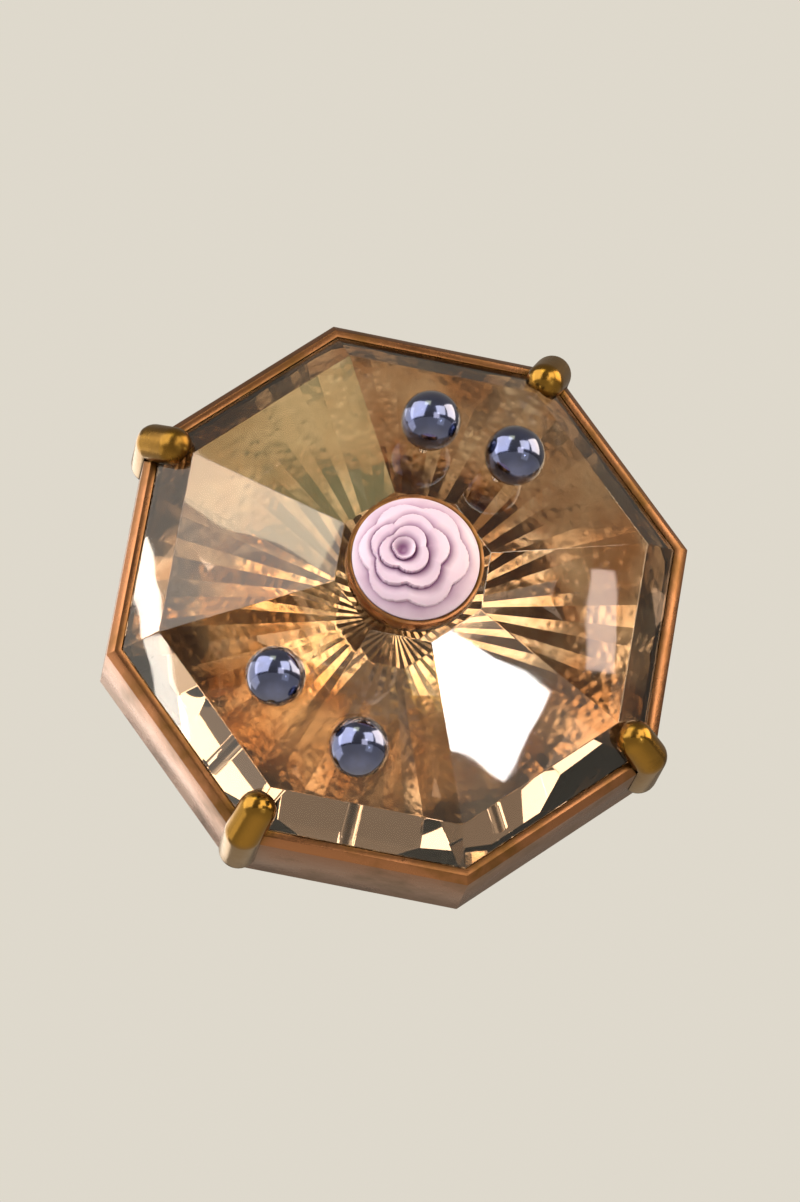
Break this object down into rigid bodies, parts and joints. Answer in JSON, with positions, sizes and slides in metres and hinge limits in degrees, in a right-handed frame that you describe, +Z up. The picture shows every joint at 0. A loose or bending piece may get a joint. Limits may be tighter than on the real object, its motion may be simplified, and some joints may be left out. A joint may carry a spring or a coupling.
{
  "type": "brooch",
  "caption": "Octagonal glass brooch with a pink rose and blue beads on its faceted dome, in a claw setting with a hinged pin and turning safety catch.",
  "frame": {"origin": "middle of the pin's straight shank with the pin closed, which is where the cloth holds the brooch; the back plate is 3.2 mm in front of it and the brooch's middle is 7 mm below it", "axes": "upright as worn: the jewelled face looks along -Y, +Z is up, and +X runs along the closed pin from its hinge to its point"},
  "size_m": [0.039, 0.0211, 0.039],
  "materials": {
    "topaz_glass": "polished facets, tinted champagne-copper",
    "copper_foil": "bright pleated foil",
    "pink_resin": "moulded, semi-gloss",
    "blue_glass": "metallic-coated, polished",
    "rose_gilt": "rose-gold plated, slightly worn",
    "gilt_brass": "antique gilt, polished",
    "plated_steel": "nickel-plated wire"
  },
  "bodies": {
    "brooch": {"glass_dome": "topaz_glass", "foil_backing": "copper_foil", "rose_cabochon": "pink_resin", "rose_cup": "rose_gilt", "blue_bead_upper_left": "blue_glass", "blue_bead_upper_right": "blue_glass", "blue_bead_lower_left": "blue_glass", "blue_bead_lower_right": "blue_glass", "bead_pegs": "gilt_brass", "setting_rim": "rose_gilt", "bearer_ring": "gilt_brass", "back_plate": "gilt_brass", "claw_upper_right": "gilt_brass", "claw_upper_left": "gilt_brass", "claw_lower_left": "gilt_brass", "claw_lower_right": "gilt_brass", "pin_bar": "gilt_brass", "bar_rivets": "gilt_brass", "hinge_bracket": "gilt_brass", "hinge_rivet": "gilt_brass", "catch_body": "gilt_brass"},
    "pin": {"pin_stem": "plated_steel"},
    "catch": {"catch_rotor": "gilt_brass"}
  },
  "joints": [
    {"name": "pin_swing", "type": "hinge", "parent": "brooch", "child": "pin", "pos_m": [-0.0115, 0, 0], "axis": [0, 0, 1], "range_deg": [0, 75]},
    {"name": "catch_turn", "type": "hinge", "parent": "brooch", "child": "catch", "pos_m": [0.0105, 0, 0], "axis": [1, 0, 0], "range_deg": [0, 110]}
  ]
}
